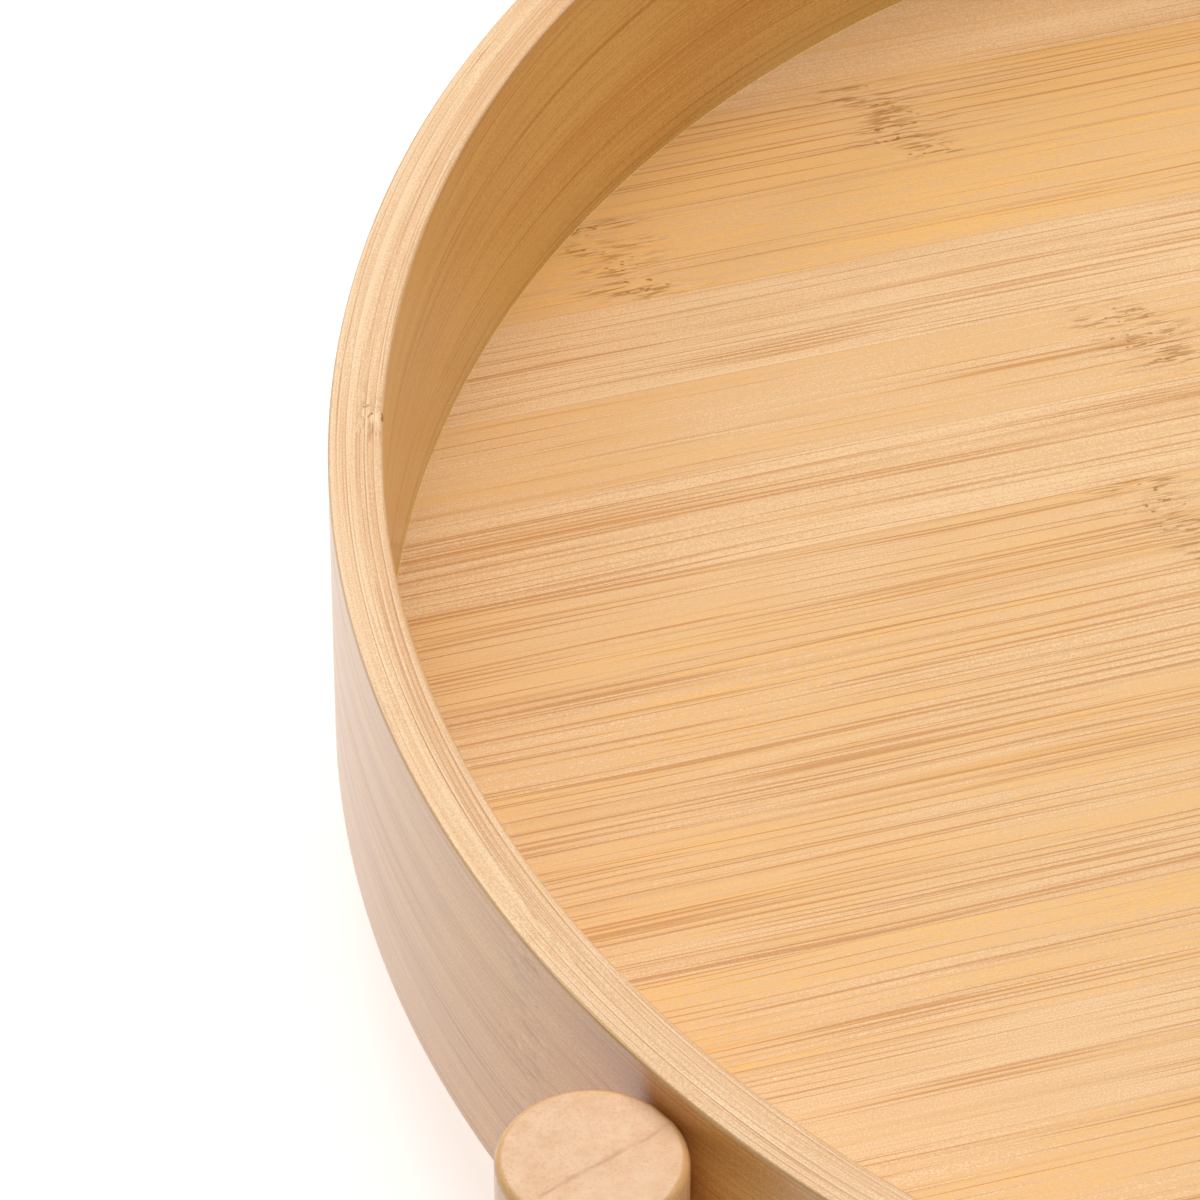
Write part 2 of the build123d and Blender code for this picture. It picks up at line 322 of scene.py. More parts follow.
# %% Group: fibres
def make_fibres():
    """Thin dark lines are the upper tail of a noise stretched 180 to 1 along the fibre, and softer ones
    of a coarser noise, with more of both where a broad noise clusters them. The colour runs warm, body,
    pale with the tone, and each dark line multiplies it by the line colour."""
    takes = [("Place", PLACE, (0, 0, 0)), ("Tone", NUMBER, 0.5), ("Lines", NUMBER, 0.5),
             ("Line Strength", NUMBER, 1.0), ("Variety", NUMBER, 1.0),
             ("Warm", COLOUR, paint(246, 192, 110)), ("Body", COLOUR, paint(231, 185, 131)),
             ("Pale", COLOUR, paint(244, 205, 155)), ("Line Colour", COLOUR, (0.76, 0.57, 0.36, 1)),
             ("Seed", NUMBER, 0.0)]
    gives = [("Colour", COLOUR), ("Roughness", NUMBER), ("Height", NUMBER)]
    tree, given, out = start_group("fibres", takes, gives)
    place = move(tree, "ADD", given["Place"], join(tree, times(tree, given["Seed"], 0.31), 0.0,
                                                   times(tree, given["Seed"], 0.173)))
    sway = noise(tree, place, (14, 40, 40), 1.0)
    place = move(tree, "ADD", place, join(tree, 0.0, times(tree, minus(tree, sway, 0.5), 1.6 * MM), 0.0))

    cluster = noise(tree, place, (5, 130, 130), 1.0)
    fewer = plus(tree, mask(tree, cluster, 0.35, 0.66, 0.045, -0.045),
                 mask(tree, given["Lines"], 0, 1, 0.06, -0.045))
    thin_lines = noise(tree, place, (14, 2500, 2500), 1.0, 0.5)
    thin = mask(tree, minus(tree, thin_lines, fewer), 0.565, 0.67)
    soft_lines = noise(tree, place, (6, 900, 900), 2.0, 0.6)
    soft = mask(tree, minus(tree, soft_lines, fewer), 0.54, 0.74, 0.0, 0.30)
    dark = calc(tree, "MAXIMUM", times(tree, thin, 0.9), soft)
    hair_lines = noise(tree, place, (24, 4200, 4200), 2.0, 0.6)
    fine = mask(tree, hair_lines, 0.32, 0.70)
    broad = noise(tree, place, (4, 210, 210), 3.0, 0.6)
    cloud = noise(tree, place, (16, 45, 45), 2.0)
    sparkle = noise(tree, place, (3300, 4200, 4200), 1.0)

    change = mask(tree, broad, 0.25, 0.75, -0.17, 0.17)
    change = plus(tree, change, mask(tree, cloud, 0.3, 0.7, -0.14, 0.14))
    change = plus(tree, change, mask(tree, fine, 0, 1, 0.18, -0.22))
    change = plus(tree, change, mask(tree, sparkle, 0.3, 0.7, -0.3, 0.3))
    tone = plus(tree, given["Tone"], times(tree, change, given["Variety"]))
    colour = blend(tree, mask(tree, tone, 0.0, 0.5), given["Warm"], given["Body"])
    colour = blend(tree, mask(tree, tone, 0.5, 1.0), colour, given["Pale"])
    shade = times(tree, dark, given["Line Strength"])
    colour = blend(tree, shade, colour, blend(tree, 1.0, colour, given["Line Colour"], "MULTIPLY"))
    tree.links.new(colour, out["Colour"])
    rough = plus(tree, mask(tree, dark, 0, 1, 0.36, 0.52), mask(tree, cloud, 0.3, 0.7, -0.03, 0.04))
    tree.links.new(plus(tree, rough, mask(tree, sparkle, 0.3, 0.7, -0.04, 0.05)), out["Roughness"])
    height = minus(tree, mask(tree, fine, 0, 1, 1.0, 0.78), times(tree, dark, 0.6))
    tree.links.new(plus(tree, height, mask(tree, sparkle, 0.2, 0.8, 0.0, 0.16)), out["Height"])
    return tree


fibres = make_fibres()
print("fibres:", len(fibres.nodes), "nodes")

# %% [markdown]
# ## Where a joint of the cane crosses
# Every 200 to 400 mm a bamboo cane has a joint. In a planed strip it leaves a band of short brown dashes
# and dots across the fibres, with the lines bending round it. This group makes the band from a place
# whose origin is the middle of the joint, and also gives a nudge that bends the fibres near it.


# %% Group: cane joint
def make_cane_joint():
    """Strength falls smoothly to zero at the reach, to both sides of the joint. Dashes and dots are upper
    tails of short noises times that strength; the nudge is a soft noise across the fibre times the same
    strength."""
    takes = [("Place", PLACE, (0, 0, 0)), ("Reach", NUMBER, 6 * MM), ("Seed", NUMBER, 0.0)]
    gives = [("Dark", NUMBER), ("Pale", NUMBER), ("Nudge", PLACE)]
    tree, given, out = start_group("cane_joint", takes, gives)
    place = move(tree, "ADD", given["Place"], join(tree, 0.0, 0.0, times(tree, given["Seed"], 0.219)))
    away = calc(tree, "DIVIDE", calc(tree, "ABSOLUTE", split(tree, given["Place"])[0]), given["Reach"])
    wavy = plus(tree, away, mask(tree, noise(tree, place, (60, 420, 420), 1.0), 0.3, 0.7, -0.35, 0.35))
    near = mask(tree, wavy, 1.0, 0.1)
    middle = mask(tree, wavy, 0.42, 0.05)
    dashes = mask(tree, noise(tree, place, (190, 1900, 1900), 2.0, 0.6), 0.49, 0.58)
    clumps = mask(tree, noise(tree, place, (90, 300, 300), 1.0), 0.40, 0.56, 0.25, 1.0)
    dots = mask(tree, noise(tree, place, (560, 1000, 1000), 1.0), 0.63, 0.69)
    dark = times(tree, times(tree, dashes, clumps), near)
    dark = calc(tree, "MAXIMUM", times(tree, dark, 0.8), times(tree, dots, middle))
    tree.links.new(dark, out["Dark"])
    gaps = mask(tree, noise(tree, place, (330, 900, 900), 1.0), 0.45, 0.34)
    tree.links.new(times(tree, gaps, near), out["Pale"])
    bend = minus(tree, noise(tree, place, (130, 260, 260), 1.0), 0.5)
    tree.links.new(join(tree, 0.0, times(tree, times(tree, bend, near), 2.0 * MM), 0.0), out["Nudge"])
    return tree


cane_joint = make_cane_joint()
JOINT_BROWN = (0.56, 0.41, 0.18, 1)
print("cane joint:", len(cane_joint.nodes), "nodes")


# %% Group: dust
def make_dust():
    """Specks lie in a few cells of a loose cell pattern: a speck is the small middle of a cell whose own
    random value is high."""
    tree, given, out = start_group("dust", [("Place", PLACE, (0, 0, 0)), ("Amount", NUMBER, 0.2)],
                                   [("Specks", NUMBER)])
    cells = add(tree, "ShaderNodeTexVoronoi", {"Vector": given["Place"], "Scale": 230.0})
    chance = calc(tree, "LESS_THAN", split(tree, cells.outputs["Color"])[0], given["Amount"])
    speck = mask(tree, cells.outputs["Distance"], 0.075, 0.03)
    tree.links.new(times(tree, speck, chance), out["Specks"])
    return tree


dust = make_dust()
print("dust ready")

# %% [markdown]
# ## Tray floor
# The floor is a pressed board: flat strips of cane about 20 mm wide lie side by side, all running one
# way, and are planed and lacquered together. Neighbouring strips differ in tone and in how lined they
# are, and their joints do not meet. A stepped colour ramp holds the recipe of each strip: red is its
# tone, green where its joint lies along the strip, and blue how lined it is.

# %% Group: pressed strips
STRIP = 0.102 * TRAY_R
FLOOR_GRAIN = math.radians(20.9)


def make_pressed_strips():
    """The place is turned so that x runs along the fibres. The strip number is the whole part of y over
    the strip width, and the seam mask fades out about 0.2 mm from a strip's edge."""
    takes = [("Place", PLACE, (0, 0, 0)), ("Grain Turn", NUMBER, 0.0), ("Width", NUMBER, STRIP)]
    gives = [("Place", PLACE), ("Strip", NUMBER), ("Across", NUMBER), ("Seam", NUMBER)]
    tree, given, out = start_group("pressed_strips", takes, gives)
    turned = add(tree, "ShaderNodeVectorRotate", {"Vector": given["Place"], "Angle": given["Grain Turn"]},
                 rotation_type="Z_AXIS")
    place = turned.outputs[0]
    count = calc(tree, "DIVIDE", split(tree, place)[1], given["Width"])
    strip = calc(tree, "FLOOR", count)
    share = minus(tree, minus(tree, count, strip), 0.5)
    across = times(tree, share, given["Width"])
    edge = minus(tree, times(tree, given["Width"], 0.5), calc(tree, "ABSOLUTE", across))
    for name, value in (("Place", place), ("Strip", strip), ("Across", across),
                        ("Seam", mask(tree, edge, 0.18 * MM, 0.04 * MM))):
        tree.links.new(value, out[name])
    return tree


pressed_strips = make_pressed_strips()

# %% Finish: tray floor
JOINT_SPAN = 360 * MM
# tone, place of the joint in mm along the strip, how lined: strips -10 to 9 in turn
STRIP_RECIPES = [
    (0.5, 90, 0.5), (0.6, -20, 0.6), (0.44, 60, 0.4), (0.56, 130, 0.7), (0.44, 30, 0.5),
    (0.54, 100, 0.6), (0.46, 10, 0.75), (0.56, 140, 0.45), (0.40, 70, 0.6), (0.54, 30, 0.7),
    (0.46, 120, 0.7), (0.56, 60, 0.95), (0.46, -60, 0.6), (0.66, 110, 0.9), (0.44, -51, 0.25),
    (0.80, 40, 0.5), (0.26, -123, 0.35), (0.28, -72, 0.35), (0.62, 20, 0.15), (0.6, 100, 0.4),
]


def recipe_ramp(tree, strip):
    """A stepped ramp read at (strip + 10.5) / 20, so that each strip falls in the middle of its own
    step."""
    place = calc(tree, "DIVIDE", plus(tree, strip, 10.5), 20.0)
    ramp = add(tree, "ShaderNodeValToRGB", {"Fac": place})
    ramp.color_ramp.interpolation = "CONSTANT"
    stops = ramp.color_ramp.elements
    for number, (tone, joint, lines) in enumerate(STRIP_RECIPES):
        stop = stops[number] if number < 2 else stops.new(number / 20)
        stop.position = number / 20
        stop.color = (tone, joint * MM / JOINT_SPAN + 0.5, lines, 1)
    return add(tree, "ShaderNodeSeparateColor", {0: ramp.outputs[0]}).outputs


def finish_tray_floor():
    """Each strip takes its tone, its lines and the place of its joint from its recipe. The joint lies
    aslant: its distance grows by 0.22 of the distance across the strip."""
    tree, shader, places = start_finish("bamboo_board")
    strips = use(tree, pressed_strips, {"Place": places, "Grain Turn": -FLOOR_GRAIN})
    tone, joint, lines = recipe_ramp(tree, strips["Strip"])[:3]
    along, _, through = split(tree, strips["Place"])
    from_joint = minus(tree, along, times(tree, minus(tree, joint, 0.5), JOINT_SPAN))
    slanted = plus(tree, from_joint, times(tree, strips["Across"], 0.22))
    scar = use(tree, cane_joint,
               {"Place": join(tree, slanted, strips["Across"], through), "Reach": 10 * MM,
                "Seed": strips["Strip"]})
    bent = move(tree, "ADD", strips["Place"], scar["Nudge"])
    wood = use(tree, fibres, {"Place": bent, "Tone": tone, "Lines": lines, "Seed": strips["Strip"]})
    colour = blend(tree, times(tree, scar["Pale"], 0.35), wood["Colour"], paint(244, 205, 152))
    colour = blend(tree, scar["Dark"], colour, blend(tree, 1.0, colour, JOINT_BROWN, "MULTIPLY"))
    colour = blend(tree, times(tree, strips["Seam"], 0.22), colour, paint(176, 118, 62))
    specks = use(tree, dust, {"Place": places, "Amount": 0.05})["Specks"]
    colour = blend(tree, times(tree, specks, 0.5), colour, paint(255, 244, 225))
    dress(tree, shader, colour, wood["Roughness"])
    lacquer(shader, 0.15, 0.35)
    relief(tree, shader, minus(tree, wood["Height"], times(tree, scar["Dark"], 0.5)), 0.05 * MM)


finish_tray_floor()
print("floor strips:", len(STRIP_RECIPES), "each", round(STRIP / MM, 2), "mm wide")

# %% [markdown]
# ## Rim finish
# The rim is six thin plies of bamboo bent round and glued. On its walls the fibres run round the hoop. On
# its top edge the plies show as fine lines that waver a little. The finish therefore needs a place
# measured round the hoop: distance round, height, and distance from the axis. The ends of the plies meet
# in a slanted scarf joint at the back, which is also where the measured distance starts and stops.

# %% Group: place round the axis
SCARF_BEARING = math.radians(62)
SCARF_LEAN = 0.5


def make_ring_place():
    """Along is the bearing from the seam, in radians, times the given radius. The bearing is the two-part
    arctangent of the place turned so that the seam falls on the far side. Lower places are turned a
    little more, and that turn is taken off again, so the seam leans but the fibres stay level."""
    takes = [("Place", PLACE, (0, 0, 0)), ("Seam Bearing", NUMBER, 0.0), ("Radius", NUMBER, TRAY_R)]
    gives = [("Place", PLACE), ("Along", NUMBER), ("Height", NUMBER), ("From Axis", NUMBER),
             ("From Seam", NUMBER)]
    tree, given, out = start_group("ring_place", takes, gives)
    below = minus(tree, RIM_TOP, split(tree, given["Place"])[2])
    lean = calc(tree, "DIVIDE", times(tree, below, SCARF_LEAN), given["Radius"])
    angle = plus(tree, minus(tree, math.pi, given["Seam Bearing"]), lean)
    turned = add(tree, "ShaderNodeVectorRotate", {"Vector": given["Place"], "Angle": angle},
                 rotation_type="Z_AXIS").outputs[0]
    x, y, height = split(tree, turned)
    bearing = calc(tree, "ARCTAN2", y, x)
    along = times(tree, minus(tree, bearing, lean), given["Radius"])
    from_seam = times(tree, minus(tree, math.pi, calc(tree, "ABSOLUTE", bearing)), given["Radius"])
    from_axis = calc(tree, "SQRT", plus(tree, times(tree, x, x), times(tree, y, y)))
    for name, value in (("Place", join(tree, along, height, from_axis)), ("Along", along),
                        ("Height", height), ("From Axis", from_axis),
                        ("From Seam", from_seam)):
        tree.links.new(value, out[name])
    return tree


ring_place = make_ring_place()


# %% Group: glued plies
def make_glued_plies():
    """The depth from the outside, swayed by a slow noise, is counted in plies. Close to a whole number lies
    a dark glue line, and just beside it on one side a pale line of painted highlight, where the step at the
    glue line catches the light. A noise along the hoop makes both come and go."""
    takes = [("Along", NUMBER, 0.0), ("Depth", NUMBER, 0.0), ("Ply", NUMBER, PLY)]
    gives = [("Glue", NUMBER), ("Shine", NUMBER), ("Ply Number", NUMBER)]
    tree, given, out = start_group("glued_plies", takes, gives)
    slow = noise(tree, join(tree, given["Along"], given["Depth"], 0.0), (24, 160, 0), 2.0)
    swayed = plus(tree, given["Depth"], times(tree, minus(tree, slow, 0.5), 0.55 * MM))
    count = calc(tree, "DIVIDE", swayed, given["Ply"])
    nearest = calc(tree, "ROUND", count)
    side = times(tree, minus(tree, count, nearest), given["Ply"])
    power = noise(tree, join(tree, given["Along"], times(tree, nearest, 0.37), 0.0), (16, 40, 0), 1.0)
    power = mask(tree, power, 0.30, 0.62)
    glue = mask(tree, calc(tree, "ABSOLUTE", side), 0.12 * MM, 0.02 * MM)
    # Painted highlight: the pale line just beside the glue line, where its step catches the light.
    shine = mask(tree, calc(tree, "ABSOLUTE", minus(tree, side, 0.18 * MM)), 0.14 * MM, 0.03 * MM)
    tree.links.new(times(tree, glue, power), out["Glue"])
    tree.links.new(times(tree, shine, power), out["Shine"])
    tree.links.new(calc(tree, "FLOOR", count), out["Ply Number"])
    return tree


glued_plies = make_glued_plies()

# %% Finish: rim hoop
OUTER_JOINT_BEARING = math.radians(-144)
INNER_JOINT_BEARING = math.radians(-176.2)
JOINT_PITCH = 245 * MM
# Painted shade: tints that make the outer and inner walls darker and more saturated than the top, as each
# looks in its own shade.
OUTER_WALL_SHADE = (0.86, 0.68, 0.33, 1)
INNER_WALL_SHADE = (1.0, 0.98, 0.55, 1)


def seed_of_leaf(tree, inner):
    """A different stretch of cane for the inner plies than for the outer ones."""
    return plus(tree, times(tree, inner, 5.0), 2.0)


def place_along(bearing):
    """Distance round the rim, from the scarf, of a bearing: the bearing turned half a turn past it, times
    radius."""
    turned = bearing + math.pi - SCARF_BEARING
    return ((turned + math.pi) % (2 * math.pi) - math.pi) * TRAY_R


def finish_rim():
    """Fibres run round the hoop. A joint of the cane comes every joint pitch, at one place for the outer
    plies and at another for the inner ones. The top edge adds the glue lines, each with a painted highlight
    beside it. The walls are multiplied by tints of painted shade, which make them darker and more saturated
    than the top, the outside and the inside each by its own tint."""
    tree, shader, places = start_finish("bamboo_hoop")
    ring = use(tree, ring_place, {"Place": places, "Seam Bearing": SCARF_BEARING})
    along, height, from_axis = ring["Along"], ring["Height"], ring["From Axis"]
    depth = minus(tree, TRAY_R, from_axis)
    plies = use(tree, glued_plies, {"Along": along, "Depth": depth})
    inner = calc(tree, "GREATER_THAN", depth, 3 * PLY)

    outer_at = place_along(OUTER_JOINT_BEARING)
    inner_at = place_along(INNER_JOINT_BEARING)
    joint_at = plus(tree, times(tree, inner, inner_at - outer_at), outer_at)
    turns = calc(tree, "DIVIDE", minus(tree, along, joint_at), JOINT_PITCH)
    number = calc(tree, "ROUND", turns)
    from_joint = times(tree, minus(tree, turns, number), JOINT_PITCH)
    lean = times(tree, minus(tree, height, RIM_TOP - 17 * MM), 0.12)
    seed = plus(tree, number, times(tree, inner, 3.0))
    scar = use(tree, cane_joint, {"Place": join(tree, plus(tree, from_joint, lean), height, from_axis),
                                  "Reach": 7 * MM, "Seed": seed})
    on_top = mask(tree, height, RIM_TOP - 0.7 * MM, RIM_TOP - 0.3 * MM)
    strength = plus(tree, times(tree, on_top, times(tree, inner, 1.1)), 0.45)

    bent = move(tree, "ADD", ring["Place"], scar["Nudge"])
    bent = move(tree, "ADD", bent, join(tree, 0.0, 0.0, split(tree, scar["Nudge"])[1]))
    ply_tone = add(tree, "ShaderNodeTexWhiteNoise", {"W": plies["Ply Number"]},
                   noise_dimensions="1D").outputs["Value"]
    on_inside = calc(tree, "GREATER_THAN", depth, RIM_WALL - 0.3 * MM)
    tone = plus(tree, 0.52, times(tree, on_inside, 0.14))
    tone = plus(tree, tone, times(tree, mask(tree, ply_tone, 0, 1, -0.10, 0.10), on_top))
    tints = {"Warm": paint(226, 172, 112), "Body": paint(236, 188, 136), "Pale": paint(247, 211, 165)}
    variety = mask(tree, on_top, 0, 1, 1.6, 1.0)
    wood = use(tree, fibres, {"Place": bent, "Tone": tone, "Lines": 0.4, "Line Strength": 0.75,
                              "Seed": seed_of_leaf(tree, inner), "Variety": variety, **tints})
    dark = times(tree, scar["Dark"], strength)
    # Painted shade: the outer and inner walls are multiplied by darker, more saturated tints than the top,
    # which keeps white.
    wall_shade = blend(tree, calc(tree, "GREATER_THAN", depth, RIM_WALL / 2), OUTER_WALL_SHADE, INNER_WALL_SHADE)
    wall_shade = blend(tree, on_top, wall_shade, (1, 1, 1, 1))
    cane = blend(tree, 1.0, wood["Colour"], wall_shade, "MULTIPLY")
    colour = blend(tree, times(tree, scar["Pale"], times(tree, strength, 0.5)), cane, paint(250, 214, 166))
    colour = blend(tree, dark, colour, blend(tree, 1.0, colour, JOINT_BROWN, "MULTIPLY"))
    # Painted highlight: a pale line beside each glue line on the top, where the step at the glue line
    # catches the light.
    shine = times(tree, times(tree, plies["Shine"], on_top), 0.4)
    glue = times(tree, times(tree, plies["Glue"], on_top), 0.55)
    colour = blend(tree, shine, colour, paint(255, 224, 178))
    colour = blend(tree, glue, colour, paint(184, 122, 74))
    edge = mask(tree, calc(tree, "ABSOLUTE", minus(tree, depth, 0.12 * MM)), 0.22 * MM, 0.05 * MM)
    edge = times(tree, times(tree, edge, mask(tree, height, RIM_TOP - 0.8 * MM, RIM_TOP - 0.2 * MM)), 0.55)
    colour = blend(tree, edge, colour, paint(206, 156, 84))

    scarf = mask(tree, ring["From Seam"], 0.25 * MM, 0.05 * MM)
    colour = blend(tree, times(tree, scarf, 0.6), colour, paint(150, 96, 50))
    dress(tree, shader, colour, wood["Roughness"])
    lacquer(shader, 0.7, 0.28)
    carved = minus(tree, wood["Height"], times(tree, plus(tree, dark, glue), 0.8))
    relief(tree, shader, plus(tree, carved, times(tree, shine, 0.4)), 0.045 * MM)


finish_rim()
print("rim: joints every", round(JOINT_PITCH / MM), "mm, scarf at bearing",
      round(math.degrees(SCARF_BEARING)))

# %% [markdown]
# ## Posts
# A grip post is a thick bamboo dowel, glued up from two halves, standing on end. Its ends show the cut
# fibres as brown dots a fraction of a millimetre apart, crowded towards the skin side of the cane, and
# one glue line between the halves. Its sides show long upright fibres. The finish reads a place measured
# from the post's own middle, which each post carries in its mesh, so one material serves all four.

# %% Finish: dowel
DOWEL_SEAM_TURN = math.radians(41.8)
DOWEL_SEAM_OFF = 1.5 * MM


def finish_dowel():
    """Fibres stand upright. The ends, where the normal points up or down, show a cell pattern of fibre
    dots, and the rounded edges, where the normal leans, are a shade yellower. One glue line crosses both
    ends."""
    tree, shader, _ = start_finish("bamboo_dowel")
    local = add(tree, "ShaderNodeAttribute", {}, attribute_name="dowel_place",
                attribute_type="GEOMETRY").outputs["Vector"]
    x, y, z = split(tree, local)
    upright = join(tree, z, x, y)
    halves = add(tree, "ShaderNodeVectorRotate", {"Vector": local, "Angle": -DOWEL_SEAM_TURN},
                 rotation_type="Z_AXIS").outputs[0]
    side = plus(tree, split(tree, halves)[1], DOWEL_SEAM_OFF)
    second = calc(tree, "GREATER_THAN", side, 0.0)
    normal = add(tree, "ShaderNodeNewGeometry", {}).outputs["Normal"]
    tilt = calc(tree, "ABSOLUTE", split(tree, normal)[2])
    on_end = calc(tree, "GREATER_THAN", tilt, 0.5)
    tints = {"Warm": paint(224, 170, 112), "Body": paint(235, 188, 140), "Pale": paint(245, 208, 164)}
    wood = use(tree, fibres, {"Place": upright, "Tone": 0.55, "Lines": 0.45, "Line Strength": 0.55,
                              "Seed": plus(tree, second, 11.0), **tints})

    cells = add(tree, "ShaderNodeTexVoronoi",
                {"Vector": join(tree, x, y, 0.0), "Scale": 1750.0, "Randomness": 0.9})
    swing = mask(tree, noise(tree, local, (120, 120, 120)), 0.3, 0.7, -3 * MM, 3 * MM)
    crowd = mask(tree, plus(tree, side, swing), -9 * MM, 10 * MM, 0.20, 0.44)
    dots = times(tree, mask(tree, minus(tree, cells.outputs["Distance"], crowd), 0.12, -0.06), on_end)
    cloud = mask(tree, noise(tree, local, (300, 300, 60), 4.0, 0.65), 0.3, 0.7)
    end_colour = blend(tree, cloud, paint(234, 187, 143), paint(242, 201, 160))
    end_colour = blend(tree, times(tree, dots, 0.17), end_colour, paint(206, 146, 100))
    colour = blend(tree, on_end, wood["Colour"], end_colour)

    rounded = times(tree, mask(tree, tilt, 0.06, 0.35), mask(tree, tilt, 0.985, 0.9))
    colour = blend(tree, times(tree, rounded, 0.75), colour, paint(226, 172, 104))

    wander = minus(tree, noise(tree, local, (160, 160, 40), 3.0, 0.6), 0.5)
    ragged = plus(tree, side, times(tree, wander, 2.2 * MM))
    seam = mask(tree, calc(tree, "ABSOLUTE", ragged), 0.6 * MM, 0.02 * MM)
    broken = mask(tree, noise(tree, local, (260, 260, 30), 1.0), 0.36, 0.60, 0.12, 0.5)
    seam = times(tree, seam, broken)
    colour = blend(tree, seam, colour, paint(192, 136, 98))
    dress(tree, shader, colour, plus(tree, wood["Roughness"], times(tree, on_end, 0.1)))
    lacquer(shader, 0.3, 0.3)
    carved = minus(tree, wood["Height"], plus(tree, times(tree, dots, 0.35), times(tree, seam, 0.6)))
    relief(tree, shader, carved, 0.05 * MM)


finish_dowel()

# %% [markdown]
# ## Grid meshes
# A shape here is a table of places: rows run along a profile and columns run round an axis. The helper
# below joins neighbouring places with four-sided faces, closes the columns into a ring, and closes either
# the rows into a ring too, as on a hoop, or both ends with a fan, as on a dowel.


# %% Helpers: meshes from grids
def grid_shape(places, ring_rows):
    """Rows i and columns j: each face joins (i, j), (i, j+1), (i+1, j+1), (i+1, j), counted round the
    ring. Without ringed rows, the first and last row are each a single pole repeated, and fans join them
    to their neighbours."""
    rows, columns = places.shape[:2]
    j = np.arange(columns)
    after = (j + 1) % columns
    if ring_rows:
        i = np.arange(rows)[:, None] * columns
        up = (np.arange(rows)[:, None] + 1) % rows * columns
        quads = np.stack([i + j, i + after, up + after, up + j], axis=-1).reshape(-1, 4)
        return places.reshape(-1, 3), [quads]
    body = places[1:-1].reshape(-1, 3)
    i = np.arange(rows - 3)[:, None] * columns
    quads = np.stack([i + j, i + after, i + columns + after, i + columns + j], axis=-1).reshape(-1, 4)
    bottom, top, last = len(body), len(body) + 1, (rows - 3) * columns
    under = np.stack([np.full(columns, bottom), after, j], axis=-1)
    over = np.stack([last + j, last + after, np.full(columns, top)], axis=-1)
    return np.vstack([body, places[0, :1], places[-1, :1]]), [quads, under, over]


def plain_mesh(name, points, face_arrays):
    """A mesh from an array of places and arrays of faces."""
    mesh = bpy.data.meshes.new(name)
    mesh.from_pydata(points.tolist(), [], [face for array in face_arrays for face in array.tolist()])
    mesh.shade_smooth()
    return mesh


def new_piece(name, mesh, material, body, replaced):
    """Puts a mesh in the scene as a piece that rides on a body and stands for a part of the model."""
    piece = bpy.data.objects.new(name, mesh)
    bpy.context.scene.collection.objects.link(piece)
    mesh.materials.clear()
    mesh.materials.append(bpy.data.materials[material])
    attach(piece, body)
    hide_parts(replaced)
    return piece


# %% [markdown]
# ## Rim hoop
# A real bent rim is never quite even: its top edge has faint grooves at the glue lines, and its walls
# carry long low waves that break up reflections. So its profile is worked out at every angle and swept
# round.

# %% Shape: rim hoop
RIM_EDGE = 0.6 * MM
GLUE_BEAD = 0.15 * MM
EDGE_ROW = 0.3 * MM
HOOP_STEPS = 640


def edge_arc(radius, height, start, steps=7):
    """Part of a circle of the rim's edge radius, a quarter turn from the start angle, anticlockwise."""
    turn = start + np.linspace(0, np.pi / 2, steps)
    return np.stack([radius + RIM_EDGE * np.cos(turn), height + RIM_EDGE * np.sin(turn)], axis=-1)


def hoop_profile():
    """A tall rounded box, as places (radius, height): up the outside, in over the top, down the inside,
    out below. A small bead of glue stands out over the joint with the floor, as a quarter turn on the
    inside wall."""
    outer, inner = TRAY_R - RIM_EDGE, RIM_INNER_R + RIM_EDGE
    low, high = RIM_FOOT + RIM_EDGE, RIM_TOP - RIM_EDGE
    walls = np.linspace(low + EDGE_ROW, high - EDGE_ROW, 14)
    tops = np.linspace(outer, inner, 62)[1:-1]
    bottoms = np.linspace(inner, outer, 8)[1:-1]
    upper = np.append(np.linspace(high - EDGE_ROW, FLOOR_TOP + GLUE_BEAD + EDGE_ROW, 13),
                      FLOOR_TOP + GLUE_BEAD)
    lower = np.linspace(FLOOR_TOP, low, 3)[:-1]
    bend = np.linspace(0, np.pi / 2, 5)[1:]
    bead = np.stack([RIM_INNER_R - GLUE_BEAD * (1 - np.cos(bend)),
                     FLOOR_TOP + GLUE_BEAD * (1 - np.sin(bend))], axis=-1)
    return np.vstack([
        np.stack([np.full_like(walls, TRAY_R), walls], axis=-1),
        edge_arc(outer, high, 0),
        np.stack([tops, np.full_like(tops, RIM_TOP)], axis=-1),
        edge_arc(inner, high, np.pi / 2),
        np.stack([np.full_like(upper, RIM_INNER_R), upper], axis=-1),
        bead,
        np.stack([np.full_like(lower, RIM_INNER_R), lower], axis=-1),
        edge_arc(inner, low, np.pi),
        np.stack([bottoms, np.full_like(bottoms, RIM_FOOT)], axis=-1),
        edge_arc(outer, low, 1.5 * np.pi),
    ])


